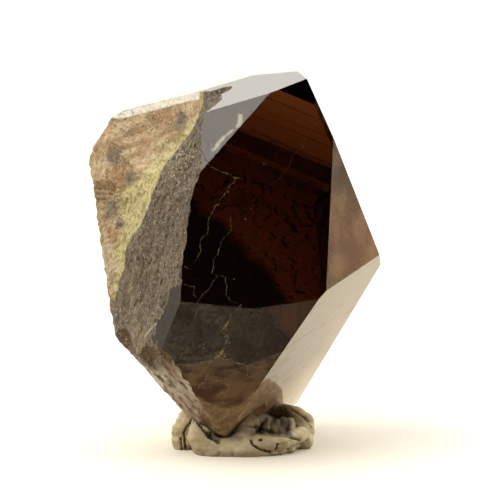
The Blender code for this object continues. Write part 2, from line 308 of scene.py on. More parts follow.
def break_reach(rays):
    """Distance along each ray to the nearest broken side, with its waves and facets."""
    reach = np.full(len(rays), OUT_OF_REACH)
    for number, (tilt, direction, far, grain, wave) in enumerate(BREAKS):
        lift = rays @ np.array(facing(tilt, direction))
        ahead = lift > 0.05
        near = ahead & (far / np.where(ahead, lift, 1.0) < reach + 3.0)
        lift = lift[near]
        spot = rays[near] * (far / lift)[:, None]
        rise = wave * waves(spot, 9.0, number) + grain * waves(spot, 1.9, number + 20)
        rise = rise + splinters(spot, 1.1, number + 3, 0.55) * grain * 1.3
        rise = rise + splinters(spot, 0.45, number + 40, 0.6) * grain * 0.9
        reach[near] = np.minimum(reach[near], (far + rise) / lift)
    return reach


def ball_reach(rays, ball, radius):
    along = rays @ np.array(ball)
    under = radius * radius - Vector(ball).length_squared + along * along
    hit = (along > 0.0) & (under > 0.0)
    return np.where(hit, along - np.sqrt(np.where(hit, under, 0.0)), OUT_OF_REACH)


def growth_reach(ray):
    return min(far / ray.dot(away) for away, far in growth_planes() if ray.dot(away) > 0.05)


def smooth_break_reach(ray):
    return min(far / ray.dot(facing(tilt, direction)) for tilt, direction, far, grain, wave in BREAKS
               if ray.dot(facing(tilt, direction)) > 0.05)


def chip_balls():
    """Balls whose near sides hollow out the broken skin."""
    balls = [(Vector(HOLLOW_MIDDLE), HOLLOW_RADIUS), (Vector(REAR_MIDDLE), REAR_RADIUS)]
    for tilt, direction, radius, depth in CHIPS:
        ray = facing(tilt, direction)
        hollow = float(ball_reach(np.array([ray]), balls[0][0], balls[0][1])[0])
        skin = min(smooth_break_reach(ray), growth_reach(ray), hollow)
        balls.append((ray * (skin + radius - depth), radius))
    return balls


def hollow_reach(rays):
    reach = np.full(len(rays), OUT_OF_REACH)
    for number, (ball, radius) in enumerate(chip_balls()):
        near = ball_reach(rays, ball, radius)
        spot = rays * near[:, None]
        near = near + waves(spot, 3.0, 60 + number) * 0.18 + splinters(spot, 1.6, 70 + number, 0.5) * 0.22
        near = near + splinters(spot, 0.6, 80 + number, 0.5) * 0.12
        reach = np.minimum(reach, near)
    return reach


def traced_across(points, heights):
    """Across value of a broken line at each height."""
    spots = sorted((up, across) for across, up in points)
    return np.interp(heights, [spot[0] for spot in spots], [spot[1] for spot in spots])


def stained_basin(spots):
    """How far the stained part left of its rim stands back, with a crisp step and shell waves."""
    across, up = sheet_place(spots @ stand_turn().T + np.array(CRYSTAL_MIDDLE))
    rim = traced_across(HOLLOW_RIM, up) + waves(spots, 1.6, 91) * 0.25
    edge = traced_across(LEFT_OUTLINE, up)
    share = np.clip((rim - across) / np.maximum(rim - edge, 0.5), 0.0, 1.0)
    step = np.clip((rim - across) / 0.25, 0.0, 1.0)
    inside = (up > 23.0) & (up < 58.0)
    below = np.interp(across, [spot[0] for spot in TOP_FACE_BORDER], [spot[1] for spot in TOP_FACE_BORDER]) - up
    room = np.clip(below / 2.0, 0.0, 1.0) * np.clip((1.0 - share) / 0.35, 0.0, 1.0)
    arcs = np.sin(np.linalg.norm(spots - np.array((-12.0, -16.0, 8.0)), axis=1) * 2.6) * 0.03
    depth = step * (0.3 + 1.3 * np.sin(share * math.pi) ** 0.8)
    depth = depth + step * (arcs + waves(spots, 4.0, 92) * 0.18 + waves(spots, 0.8, 93) * 0.06)
    return np.where(inside, depth * room * np.clip((up - 23.0) / 6.0, 0.0, 1.0), 0.0)


def mesh_object(name, mesh):
    data = bpy.data.meshes.new(name)
    mesh.to_mesh(data)
    mesh.free()
    thing = bpy.data.objects.new(name, data)
    bpy.context.scene.collection.objects.link(thing)
    return thing


def triples(items, name):
    """A vector property of all points or faces as an array."""
    values = np.empty(len(items) * 3)
    items.foreach_get(name, values)
    return values.reshape(-1, 3)


def only(kind, parts):
    """The points, edges or faces among mixed parts of a mesh."""
    return [item for item in parts if isinstance(item, kind)]


def move_points(mesh, change):
    """Pass all points of a mesh through a function of an array of places."""
    data = bpy.data.meshes.new("points")
    mesh.to_mesh(data)
    data.vertices.foreach_set("co", change(triples(data.vertices, "co")).ravel())
    mesh.clear()
    mesh.from_mesh(data)
    bpy.data.meshes.remove(data)


def broken_lump():
    """Closed lump whose skin is the broken surface all round."""
    mesh = bmesh.new()
    bmesh.ops.create_icosphere(mesh, subdivisions=7, radius=1.0)

    def to_skin(places):
        rays = places / np.linalg.norm(places, axis=1)[:, None]
        reach = np.minimum(break_reach(rays), hollow_reach(rays))
        return rays * (reach - stained_basin(rays * reach[:, None]))[:, None]

    move_points(mesh, to_skin)
    for face in mesh.faces:
        face.material_index = 1
    return mesh


def cut_off(mesh, spot, away, fineness=1e-5):
    """Take off all that lies outside a plane, and give back the rim of the cut."""
    everything = mesh.verts[:] + mesh.edges[:] + mesh.faces[:]
    cut = bmesh.ops.bisect_plane(mesh, geom=everything, dist=fineness, plane_co=spot, plane_no=away, clear_outer=True)
    return only(bmesh.types.BMEdge, cut["geom_cut"])


def cut_block(size, cuts):
    """A block cut and capped by planes, each as a place on it and its outward direction."""
    mesh = bmesh.new()
    bmesh.ops.create_cube(mesh, size=size)
    for spot, away in cuts:
        rim = cut_off(mesh, spot, away)
        if rim:
            bmesh.ops.contextual_create(mesh, geom=rim)
    bmesh.ops.recalc_face_normals(mesh, faces=mesh.faces)
    return mesh


def growth_form():
    """The whole crystal as it grew: a block cut by every growth plane, with lightly worn edges."""
    mesh = cut_block(130.0, [(away * far, away) for away, far in growth_planes()])
    bmesh.ops.bevel(mesh, geom=mesh.edges[:], offset=EDGE_WEAR, offset_type="OFFSET", segments=2, profile=0.5,
                    affect="EDGES", material=-1)
    return mesh


def back_cuts():
    """The flat faces that bound each cut in the back of the crystal."""
    cuts = [[(facing(LEDGE_TILT, 180.0), riser_far), (facing(90.0, 180.0), face_far)]
            for riser_far, face_far in LEDGES]
    return cuts + [[(facing(TIP_TILT, 180.0), SUNK_TIP_FACE)]]


def back_wedge(planes):
    """Everything outside the given faces, except the thin rim."""
    rim = (-facing(TIP_TILT, RIM_FACE), RIM_THICKNESS - TIP_FACES[RIM_FACE])
    return cut_block(120.0, [(away * far, -away) for away, far in planes + [rim]])


def apply_modifiers(thing):
    bpy.context.view_layer.update()
    thing.data = bpy.data.meshes.new_from_object(thing.evaluated_get(bpy.context.evaluated_depsgraph_get()))
    thing.modifiers.clear()


def apply_boolean(thing, other, operation):
    modifier = thing.modifiers.new("join", "BOOLEAN")
    modifier.operation = operation
    modifier.solver = "EXACT"
    modifier.object = other
    apply_modifiers(thing)
    bpy.data.objects.remove(other, do_unlink=True)


FACETS = {"big_face": (TIP_TILT, 0.0), "left_tip_face": (TIP_TILT, 300.0), "right_face": (90.0, 60.0),
          "lower_right": LOWER_RIGHT_FACE[:2], "lower_left": LOWER_LEFT_FACE[:2], "right_tip_face": (TIP_TILT, 60.0),
          "left_face": (90.0, 300.0)}


def mark_zones(data):
    """Write face attributes: what is broken, what is a prism face, which flat face it is and what is frosted."""
    count = len(data.polygons)
    origin = np.empty(count, dtype=np.int32)
    data.polygons.foreach_get("material_index", origin)
    broken, grown = origin == 1, origin != 1
    normals = triples(data.polygons, "normal")
    facet = np.zeros(count)
    for rank, name in enumerate(FACETS):
        close = normals @ np.array(facing(*FACETS[name])) > 0.99995
        facet = np.where(close & grown, rank + 1.0, facet)
    away = np.linalg.norm(triples(data.polygons, "center") - np.array(REAR_MIDDLE), axis=1)
    zones = {"broken": broken, "prism": (np.abs(normals[:, 2]) < 0.02) & grown, "facet": facet,
             "frosted": (away < REAR_RADIUS + 0.9) & broken}
    for name, values in zones.items():
        data.attributes.new(name, "FLOAT", "FACE").data.foreach_set("value", values.astype(np.float32))
    data.polygons.foreach_set("material_index", np.zeros(count, dtype=np.int32))


def build_crystal():
    crystal = mesh_object("crystal", growth_form())
    for planes in back_cuts():
        apply_boolean(crystal, mesh_object("back_wedge", back_wedge(planes)), "DIFFERENCE")
    apply_boolean(crystal, mesh_object("broken_lump", broken_lump()), "INTERSECT")
    mark_zones(crystal.data)
    crystal.data.transform(stand_transform())
    crystal.data.materials.clear()
    crystal.data.materials.append(quartz_material())
    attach(crystal, "root")
    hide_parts("quartz_crystal")


# Cracks, fillings and dust lines in the faces

def face_plane(name):
    """A flat face in stand coordinates, in mm, as outward direction and distance."""
    tilt, direction = FACETS[name]
    away = facing(tilt, direction)
    far = next(reach for way, reach in growth_planes() if way.dot(away) > 0.99999)
    stood = (stand_transform().to_3x3() @ away).normalized()
    return stood, far + stood.dot(Vector(CRYSTAL_MIDDLE))


def on_face(name, across, up):
    """The point of a face that lies at this place of the stand view's sheet, in mm."""
    away, far = face_plane(name)
    sight = Vector((0.0, math.cos(RISE), -math.sin(RISE)))
    start = Vector((across, up * math.sin(RISE), up * math.cos(RISE))) + Vector(SHEET_MIDDLE)
    return start + sight * ((far - away.dot(start)) / away.dot(sight))


def thicken(mesh, faces, way):
    """Give faces a closed body by pushing a copy of them that way."""
    deeper = bmesh.ops.extrude_face_region(mesh, geom=faces, use_keep_orig=True)
    bmesh.ops.translate(mesh, verts=only(bmesh.types.BMVert, deeper["geom"]), vec=way)


def add_sliver(mesh, name, points, width, seed):
    """A thin closed fin that follows a broken line and goes a little way into the face."""
    away, far = face_plane(name)
    last = bmesh.ops.create_vert(mesh, co=on_face(name, *points[0]))["vert"][0]
    edges = []
    for point in points[1:]:
        grown = bmesh.ops.extrude_vert_indiv(mesh, verts=[last])
        last = grown["verts"][0]
        last.co = on_face(name, *point)
        edges += grown["edges"]
    split = bmesh.ops.subdivide_edges(mesh, edges=edges, cuts=6)
    line = list({edge for edge in only(bmesh.types.BMEdge, edges + split["geom_inner"] + split["geom_split"])
                 if edge.is_valid and edge.is_wire})
    general = (on_face(name, *points[-1]) - on_face(name, *points[0])).normalized()
    side = away.cross(general).normalized()
    own = list({vert for edge in line for vert in edge.verts})
    places = np.array([vert.co for vert in own])
    jags = waves(places, 0.9, seed + 100) * 0.30 + waves(places, 0.3, seed + 130) * 0.16
    for vert, jag in zip(own, jags):
        vert.co += side * float(jag)
        vert.co -= away * (away.dot(vert.co) - far - CRACK_LIFT)
    strip = bmesh.ops.extrude_edge_only(mesh, edges=line)["geom"]
    bmesh.ops.translate(mesh, verts=only(bmesh.types.BMVert, strip), vec=side * width)
    thicken(mesh, only(bmesh.types.BMFace, strip), -away * CRACK_DEPTH)


def add_filling(mesh, name, corners, seed):
    """A small ragged plate of crack filling set into the face."""
    away, far = face_plane(name)
    verts = [bmesh.ops.create_vert(mesh, co=on_face(name, *corner))["vert"][0] for corner in corners]
    plate = bmesh.ops.contextual_create(mesh, geom=verts)["faces"][0]
    bmesh.ops.subdivide_edges(mesh, edges=list(plate.edges), cuts=5)
    middle = sum((vert.co for vert in plate.verts), Vector()) / len(plate.verts)
    for vert in plate.verts:
        rough = float(waves(np.array([vert.co]), 0.35, seed + 160)[0])
        vert.co = middle.lerp(vert.co, 0.92 + 0.28 * rough)
        vert.co -= away * (away.dot(vert.co) - far - FILLING_LIFT)
    thicken(mesh, [plate], -away * FILLING_DEPTH)


def finish_slivers(mesh, name, material):
    bmesh.ops.recalc_face_normals(mesh, faces=mesh.faces)
    mesh.transform(Matrix.Scale(MM, 4))
    thing = mesh_object(name, mesh)
    thing.data.materials.append(material)
    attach(thing, "root")


def build_crack_piece(kind, tone, width, lines):
    """One piece of slivers, from the face, line and seed of each."""
    mesh = bmesh.new()
    for name, line, seed in lines:
        add_sliver(mesh, name, line, width, seed)
    finish_slivers(mesh, kind + "_cracks", crack_material(kind + "_crack", tone))


def build_cracks():
    pale = [("big_face", line, number) for number, line in enumerate(BIG_FACE_CRACKS)]
    pale += [("lower_left", line, number + 20) for number, line in enumerate(LOWER_FACE_CRACKS)]
    faint = [("big_face", line, number + 60) for number, line in enumerate(FAINT_CRACKS)]
    dark = [(name, line, number + 40) for number, (name, line) in enumerate(DARK_CRACKS)]
    build_crack_piece("pale", (0.60, 0.48, 0.30), 0.035, pale)
    build_crack_piece("faint", (0.15, 0.085, 0.04), 0.03, faint)
    build_crack_piece("dark", (0.045, 0.03, 0.02), 0.09, dark)
    for kind, tone in FILLING_TONES.items():
        plates = bmesh.new()
        for number, (name, own_kind, corners) in enumerate(FILLINGS):
            if own_kind == kind:
                add_filling(plates, name, corners, number)
        finish_slivers(plates, kind + "_filling", crack_material(kind + "_filling", tone))


# Putty

def add_ball(mesh, middle, size):
    place = Matrix.Translation(Vector(middle)) @ Matrix.Diagonal((*size, 1.0))
    bmesh.ops.create_icosphere(mesh, subdivisions=3, radius=1.0, matrix=place)


def add_roll(mesh, points):
    """One kneaded roll: a close row of balls, a little uneven, that the remeshing melts together."""
    if len(points) == 1:
        add_ball(mesh, points[0][:3], (points[0][3],) * 3)
    for first, last in zip(points, points[1:]):
        start, end = Vector(first[:3]), Vector(last[:3])
        steps = max(2, int((end - start).length / (0.28 * min(first[3], last[3]))))
        for number in range(steps + 1):
            share = number / steps
            middle = start.lerp(end, share)
            wobble = 1.0 + 0.05 * math.sin(middle.x * 3.1 + middle.y * 2.3) + 0.03 * math.sin(middle.z * 5.7)
            radius = (first[3] * (1.0 - share) + last[3] * share) * wobble
            bmesh.ops.create_icosphere(mesh, subdivisions=2, radius=radius, matrix=Matrix.Translation(middle))


def line_reach(across, up, line):
    """Distance of each place on the sheet from a broken line."""
    best = np.full(len(across), 99.0)
    for (start_a, start_u), (end_a, end_u) in zip(line, line[1:]):
        wide, tall = end_a - start_a, end_u - start_u
        along = ((across - start_a) * wide + (up - start_u) * tall) / (wide * wide + tall * tall)
        share = np.clip(along, 0.0, 1.0)
        best = np.minimum(best, np.hypot(across - start_a - share * wide, up - start_u - share * tall))
    return best


def clear_of_crystal(places):
    """Press points that would lie inside the crystal out to its skin, in stand coordinates in mm."""
    turn = stand_turn()
    own = (places - np.array(CRYSTAL_MIDDLE)) @ turn
    walls = growth_planes() + [(facing(tilt, direction), far) for tilt, direction, far, grain, wave in BREAKS]
    aways = np.array([away for away, far in walls])
    depth = own @ aways.T - np.array([far for away, far in walls]) - 0.15
    nearest = depth.argmax(axis=1)
    deepest = depth[np.arange(len(own)), nearest]
    within = (deepest < 0.0) & (np.linalg.norm(own - np.array(REAR_MIDDLE), axis=1) > REAR_RADIUS)
    own = own - aways[nearest] * np.where(within, deepest, 0.0)[:, None]
    return own @ turn.T + np.array(CRYSTAL_MIDDLE)


def crack_masks(places, normals):
    """How far each point is pressed in by the cracks, and how much painted shade it gets in them."""
    across, up = sheet_place(places)
    facing_us = np.clip((normals @ np.array((0.0, -math.cos(RISE), math.sin(RISE)))) * 3.0, 0.0, 1.0)
    facing_us = facing_us * (places[:, 1] < 2.5)
    press = np.zeros(len(places))
    dark = np.zeros(len(places))
    for line, width, depth in PUTTY_CRACKS:
        away = line_reach(across, up, line) + waves(places, 0.8, 44) * 0.12 + waves(places, 0.35, 45) * 0.05
        press = np.maximum(press, np.clip(1.3 - away / width, 0.0, 1.0) * depth * 0.8)
        dark = np.maximum(dark, np.clip(1.5 - away / width, 0.0, 1.0) * min(0.85, 0.25 + depth * 0.6))
    return press * facing_us, dark * facing_us * np.clip(0.75 + waves(places, 1.3, 46) * 0.5, 0.2, 1.0)


def melted_putty():
    """The kneaded rolls melted into one closed skin, in mm round the putty's own middle."""
    mesh = bmesh.new()
    add_ball(mesh, *PUTTY_FLOOR)
    add_ball(mesh, *PUTTY_PAD)
    for points in PUTTY_ROLLS:
        add_roll(mesh, points)
    mesh.transform(Matrix.Translation((PUTTY_SPOT[0], PUTTY_SPOT[1], 0.0)))
    putty = mesh_object("putty", mesh)
    melt = putty.modifiers.new("melt", "REMESH")
    melt.mode = "VOXEL"
    melt.voxel_size = PUTTY_FINENESS * 1.0
    apply_modifiers(putty)
    return putty


def shape_putty(data):
    """Knead, crack and press the skin, and keep how deep each point lies in a fold or crack and how far it stands
    out, for the material's painted shade and highlights.
    """
    places = triples(data.vertices, "co")
    normals = triples(data.vertices, "normal")
    press, dark = crack_masks(places, normals)
    knead = waves(places, 2.6, 31) * 0.22 + waves(places, 1.1, 32) * 0.10 + waves(places, 0.5, 33) * 0.035
    places = clear_of_crystal(places + normals * (knead - press)[:, None])
    data.vertices.foreach_set("co", places.ravel())
    smooth = bmesh.new()
    smooth.from_mesh(data)
    for step in range(8):
        bmesh.ops.smooth_vert(smooth, verts=smooth.verts, factor=0.5, use_axis_x=True, use_axis_y=True,
                              use_axis_z=True)
    eased = np.array([vert.co for vert in smooth.verts])
    smooth.free()
    fold = ((eased - places) * normals).sum(axis=1) / 0.10
    # The fold attribute carries the fold depth and the crack darkness; the putty material turns them into painted
    # shade and, on bulges, a painted highlight.
    keep = data.attributes.new("fold", "FLOAT", "POINT")
    keep.data.foreach_set("value", np.clip(np.maximum(fold, dark), -1.0, 1.0).astype(np.float32))


def build_putty():
    putty = melted_putty()
    shape_putty(putty.data)
    mesh = bmesh.new()
    mesh.from_mesh(putty.data)
    rim = cut_off(mesh, (0, 0, 0), (0, 0, -1), 1e-6)
    bmesh.ops.triangle_fill(mesh, use_beauty=True, edges=rim, normal=(0, 0, -1))
    bmesh.ops.recalc_face_normals(mesh, faces=mesh.faces)
    mesh.transform(Matrix.Scale(MM, 4))
    for face in mesh.faces:
        face.smooth = abs(face.normal.z + 1.0) > 0.01
    mesh.to_mesh(putty.data)
    mesh.free()
    putty.data.materials.append(putty_material())
    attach(putty, "root")
    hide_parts("putty_base")


# Materials

def plug(tree, socket, value):
    """Link a wire to a socket or set its own value; colours come without their alpha."""
    if isinstance(value, Wire):
        tree.links.new(value.socket, socket)
    else:
        socket.default_value = (*value, 1.0) if socket.type == "RGBA" else value


class Wire:
    """A node socket that takes part in Python arithmetic."""

    def __init__(self, tree, socket):
        self.tree = tree
        self.socket = socket

    def _math(self, operation, *values):
        node = self.tree.nodes.new("ShaderNodeMath")
        node.operation = operation
        for socket, value in zip(node.inputs, values):
            plug(self.tree, socket, value)
        return Wire(self.tree, node.outputs[0])

    def __add__(self, other):
        return self._math("ADD", self, other)

    def __radd__(self, other):
        return self._math("ADD", other, self)

    def __sub__(self, other):
        return self._math("SUBTRACT", self, other)

    def __rsub__(self, other):
        return self._math("SUBTRACT", other, self)

    def __mul__(self, other):
        return self._math("MULTIPLY", self, other)

    def __rmul__(self, other):
        return self._math("MULTIPLY", other, self)

    def __truediv__(self, other):
        return self._math("DIVIDE", self, other)

    def size(self):
        return self._math("ABSOLUTE", self)

    def root(self):
        return self._math("SQRT", self)

    def above(self, edge):
        return self._math("GREATER_THAN", self, edge)

    def clipped(self):
        return self._math("MINIMUM", self._math("MAXIMUM", self, 0.0), 1.0)

    def rises(self, low, high):
        """0 below low, 1 above high, eased between."""
        share = ((self - low) / (high - low)).clipped()
        return share * share * (3.0 - 2.0 * share)

    def falls(self, low, high):
        """1 below low, 0 above high, eased between."""
        return 1.0 - self.rises(low, high)


class Recipe:
    """A material's node tree with short ways to add and join nodes."""

    def __init__(self, owner):
        self.tree = owner.node_tree
        self.tree.nodes.clear()

    def add(self, kind, settings=None, output=0, **values):
        """A node of that type with its settings; inputs by name, or by number as i0, i1."""
        node = self.tree.nodes.new(kind)
        for name, setting in (settings or {}).items():
            if name == "stops":
                self.set_stops(node.color_ramp, setting)
            else:
                setattr(node, name, setting)
        for name, value in values.items():
            key = int(name[1:]) if name[1:].isdigit() else name.replace("_", " ")
            plug(self.tree, node.inputs[key], value)
        return Wire(self.tree, node.outputs[output])

    def set_stops(self, ramp, stops):
        while len(ramp.elements) < len(stops):
            ramp.elements.new(1.0)
        for element, (place, *colour) in zip(ramp.elements, stops):
            element.position = place
            element.color = (*colour, 1.0)

    def ramp(self, value, *stops):
        """Colours by value; each stop is its place, red, green and blue."""
        return self.add("ShaderNodeValToRGB", {"stops": stops}, Fac=value)

    def mix(self, share, first, second):
        return self.add("ShaderNodeMix", {"data_type": "RGBA"}, 2, i0=share, i6=first, i7=second)

    def noise(self, place, scale, detail, roughness=0.5, output=0):
        return self.add("ShaderNodeTexNoise", None, output, Vector=place, Scale=scale, Detail=detail,
                        Roughness=roughness)

    def vector(self, operation, *values, output=0):
        inputs = {f"i{number}": value for number, value in enumerate(values)}
        return self.add("ShaderNodeVectorMath", {"operation": operation}, output, **inputs)

    def dot(self, first, second):
        return self.vector("DOT_PRODUCT", first, second, output=1)

    def part(self, vector, number):
        return self.add("ShaderNodeSeparateXYZ", None, number, i0=vector)

    def bump(self, height, strength, distance, **values):
        return self.add("ShaderNodeBump", Strength=strength, Distance=distance, Height=height, **values)

    def finish(self, surface, volume=None, kind="ShaderNodeOutputMaterial"):
        node = self.tree.nodes.new(kind)
        plug(self.tree, node.inputs["Surface"], surface)
        if volume:
            plug(self.tree, node.inputs["Volume"], volume)


def new_recipe(name):
    material = bpy.data.materials.new(name)
    material.use_nodes = True
    return material, Recipe(material)


def sheet(make, place):
    """Across and up on an upright sheet that leans back like the stand view, both in mm."""
    across = make.dot(place, (1000.0, 0.0, 0.0))
    up = make.dot(place, (0.0, 1000.0 * math.sin(RISE), 1000.0 * math.cos(RISE)))
    return across - SHEET_MIDDLE[0], up - SHEET_MIDDLE[1] * math.sin(RISE)


def curve_of(make, value, spots):
    """A broken line as a function, from (value, result) pairs."""
    spots = sorted(spots)
    low, high = spots[0][0], spots[-1][0]
    least = min(spot[1] for spot in spots)
    wide = max(spot[1] for spot in spots) - least
    node = make.tree.nodes.new("ShaderNodeFloatCurve")
    curve = node.mapping.curves[0]
    shares = [((spot[0] - low) / (high - low), (spot[1] - least) / wide) for spot in spots]
    curve.points[0].location = shares[0]
    curve.points[1].location = shares[-1]
    for share in shares[1:-1]:
        curve.points.new(*share)
    for point in curve.points:
        point.handle_type = "VECTOR"
    node.mapping.update()
    plug(make.tree, node.inputs["Value"], ((value - low) / (high - low)).clipped())
    return Wire(make.tree, node.outputs[0]) * wide + least


def traced(make, up, points):
    """Across value of a line of (across, up) points at each height."""
    return curve_of(make, up, [(point[1], point[0]) for point in points])


def traced_flat(make, across, points):
    """Height of a line of (across, up) points at each place across."""
    return curve_of(make, across, points)


def grit(make, place, size, seed):
    """One random colour per small cell."""
    shifted = make.add("ShaderNodeMapping", Vector=place, Location=(seed * 0.01, seed * 0.02, 0.0))
    return make.add("ShaderNodeTexVoronoi", output=1, Vector=shifted, Scale=1000.0 / size)


def sparkle_normal(make, place, size, amount):
    """The surface normal thrown about cell by cell."""
    cells = grit(make, place, size, 3)
    own = make.add("ShaderNodeNewGeometry", output=1)
    throw = make.vector("MULTIPLY_ADD", cells, (amount,) * 3, (-amount / 2.0,) * 3)
    return make.vector("NORMALIZE", make.vector("ADD", own, throw))


def spot_reach(across, up, middle_a, middle_u, wide=1.0, tall=1.0):
    """Distance from a spot on the sheet, as a share of its half width and half height."""
    side, rise = (across - middle_a) / wide, (up - middle_u) / tall
    return (side * side + rise * rise).root()


def granular_colour(make, place, across, up):
    """Grey-brown broken quartz, drawn out a little up and down, with cream cells as painted glints on the grains and
    near-black cells as painted shade in the pits.
    """
    drawn = make.add("ShaderNodeMapping", Vector=place, Scale=(1.0, 1.0, 0.75))
    grain = make.noise(drawn, 2000.0, 6.0, 0.85)
    blotch = make.noise(place, 170.0, 3.0)
    streak = make.add("ShaderNodeMapping", Vector=place, Scale=(1.0, 1.0, 0.35))
    streaks = make.noise(streak, 900.0, 3.0)
    base = make.ramp(grain * 0.58 + blotch * 0.24 + streaks * 0.18, (0.36, 0.016, 0.010, 0.006),
                     (0.47, 0.090, 0.056, 0.027), (0.55, 0.150, 0.098, 0.046), (0.66, 0.36, 0.268, 0.140))
    base = make.mix(up.falls(12.0, 22.0) * 0.4, base, (0.24, 0.175, 0.105))
    # Painted light: the cream cells are painted glints on the grains, the near-black cells are painted shade in the
    # pits, and shine gathers more glints in one spot.
    cells = make.part(grit(make, drawn, 0.19, 1), 0)
    shine = ((across + 9.0).size() + (up - 47.0).size() * 0.5).falls(1.0, 6.0) * 0.10
    pale = make.mix((cells + shine).rises(0.955, 0.985) * 0.85, base, (0.50, 0.44, 0.31))
    glints_and_pit_shade = make.mix(cells.falls(0.06, 0.13) * 0.85, pale, (0.010, 0.007, 0.005))
    white = 0.0
    for middle_a, middle_u, reach in FLANK_CHIPS:
        away = spot_reach(across, up, middle_a, middle_u)
        white = (away + (grain - 0.5) * 0.8).falls(reach * 0.5, reach) + white
    line = (traced_flat(make, across, FLANK_CRACK) - up).size() + (grain - 0.5) * 0.9
    length = (across + 15.2).rises(0.0, 0.3) * (across + 11.6).falls(0.0, 0.3)
    white = (white + line.falls(0.05, 0.30) * length * 0.8).clipped()
    return make.mix(white * 0.8, glints_and_pit_shade, (0.60, 0.54, 0.42))


def hollow_colour(make, place, across, up, inward):
    """The big shell hollow: tan and rust quartz, grey patches and a sulphur-yellow film along its rim."""
    cloud = make.noise(place, 190.0, 6.0, 0.68)
    fine = make.noise(place, 1100.0, 7.0, 0.78)
    bent = make.vector("MULTIPLY_ADD", make.noise(place, 110.0, 3.0, output=1), (0.006,) * 3, place)
    centred = make.vector("SUBTRACT", bent, (-0.012, -0.008, 0.052))
    shells = make.add("ShaderNodeTexWave", {"wave_type": "RINGS", "rings_direction": "SPHERICAL"}, Vector=centred,
                      Scale=130.0, Distortion=3.0, Detail=3.0)
    patched = make.ramp(cloud * 0.46 + fine * 0.45 + shells * 0.09, (0.32, 0.12, 0.070, 0.030),
                        (0.43, 0.29, 0.185, 0.078), (0.54, 0.49, 0.355, 0.185), (0.68, 0.70, 0.59, 0.40))
    warp_a = across + (cloud - 0.5) * 4.0 + (fine - 0.5) * 1.6
    warp_u = up + (fine - 0.5) * 4.0
    for tone, middle_a, middle_u, wide, tall in STAINS:
        away = spot_reach(warp_a, warp_u, middle_a, middle_u, wide, tall)
        patched = make.mix(away.falls(0.75, 1.15) * STAIN_STRENGTHS[tone], patched, STAIN_TONES[tone])
    width = curve_of(make, up, FILM_WIDTHS)
    film = ((inward + (cloud - 0.5) * 5.0 + (fine - 0.5) * 4.5) / width).falls(0.80, 1.15)
    film = film * (1.0 - (fine - 0.5 + (cloud - 0.5) * 0.8).rises(0.10, 0.16) * inward.rises(0.8, 1.6))
    film = film * make.part(place, 1).falls(0.002, 0.008)
    yellow = make.mix((fine * 0.7 + cloud * 0.3).rises(0.38, 0.58), (0.29, 0.215, 0.075),
                             (0.65, 0.60, 0.285))
    stained = make.mix(film * 0.93, patched, yellow)
    grains = make.part(grit(make, place, 0.2, 7), 0)
    sooty = (up - 38.0).size().falls(0.0, 7.0) * 0.10 + 0.05
    stained = make.mix((grains - sooty).falls(-0.01, 0.02) * (0.7 - film * 0.35), stained,
                              (0.045, 0.032, 0.018))
    # Painted highlights: the pale cream cells stand for yellowish glints on the grains of the hollow.
    stained = make.mix(grains.rises(0.955, 0.98) * 0.5 * (1.0 - film * 0.7), stained, (0.78, 0.72, 0.55))
    veins = hairlines(make, place, 330.0, 0.014) * fine.rises(0.40, 0.60)
    return make.mix(veins * 0.85 * (1.0 - film), stained, (0.10, 0.055, 0.025))


def hairlines(make, place, scale, width):
    """Thin curling lines, as where shell-shaped breaks meet."""
    noise = make.noise(place, scale, 3.0, 0.45)
    return (noise - 0.5).size().falls(0.0, width)


def foot_colour(make, place, grain, blotch, ridges):
    """Rubbed, broken brown quartz with pale curling break lines."""
    body = make.ramp(blotch * 0.28 + ridges * 0.32 + grain * 0.40, (0.36, 0.110, 0.066, 0.032),
                     (0.46, 0.29, 0.185, 0.092), (0.56, 0.46, 0.32, 0.172), (0.66, 0.70, 0.59, 0.41))
    arcs = hairlines(make, place, 300.0, 0.012) * ridges.rises(0.42, 0.55)
    return make.mix(arcs * 0.55, body, (0.66, 0.58, 0.43))


def left_ledge_highlights(make, across, up, blotch):
    """Painted highlights on the steps at the lower left: white stripes drawn out along the broken edge."""
    drawn = make.add("ShaderNodeCombineXYZ", X=across + up, Y=(across - up) * 0.22)
    steps = make.noise(drawn, 1.3, 4.0, 0.65)
    place = (up - 10.0).falls(0.0, 3.5) * (across + 7.2 - (blotch - 0.5) * 3.0).falls(0.0, 1.6)
    return place * steps.rises(0.41, 0.52)


def is_facet(facet, *names):
    """1 on the named flat faces, 0 elsewhere."""
    total = 0.0
    for name in names:
        total = (1.0 - (facet - (list(FACETS).index(name) + 1.0)).size()).clipped() + total
    return total


def specks(make, place, spacing, radius, share, seed):
    """Scattered dots of dust, in a share of the cells of a grid."""
    shifted = make.add("ShaderNodeMapping", Vector=place, Location=(seed * 0.013, seed * 0.007, 0.0))
    away = make.add("ShaderNodeTexVoronoi", Vector=shifted, Scale=1000.0 / spacing)
    pick = make.part(make.add("ShaderNodeTexVoronoi", output=1, Vector=shifted, Scale=1000.0 / spacing), 1)
    return away.falls(radius / spacing * 0.6, radius / spacing) * pick.above(1.0 - share)


def growth_lines(make, place):
    """Fine steps across the prism faces, square to the long axis, from 0 to 1."""
    axis = (stand_transform().to_3x3() @ Vector((0.0, 0.0, 1.0))).normalized()
    line = make.add("ShaderNodeCombineXYZ", X=make.dot(place, tuple(axis)))
    squeezed = make.vector("MULTIPLY_ADD", place, (0.06,) * 3, line)
    coarse = make.noise(squeezed, 900.0, 3.0, 0.6)
    fine = make.noise(squeezed, 4000.0, 2.0)
    return coarse * 0.7 + fine * 0.3


def named_value(make, name):
    return make.add("ShaderNodeAttribute", {"attribute_name": name}, output=2)


def frost_mask(make, across, up, blotch, grain):
    """Rubbed white patches along a few lines on the left tip face."""
    frost = 0.0
    for line in FROST_LINES:
        away = (traced(make, up, line) - across).size() + (blotch - 0.5) * 2.2 + (grain - 0.5) * 1.4
        (_, top), (_, bottom) = line[0], line[-1]
        frost = away.falls(0.15, 0.8) * up.rises(bottom - 0.5, bottom + 0.2) * up.falls(top - 0.2, top + 0.5) + frost
    return frost.clipped()


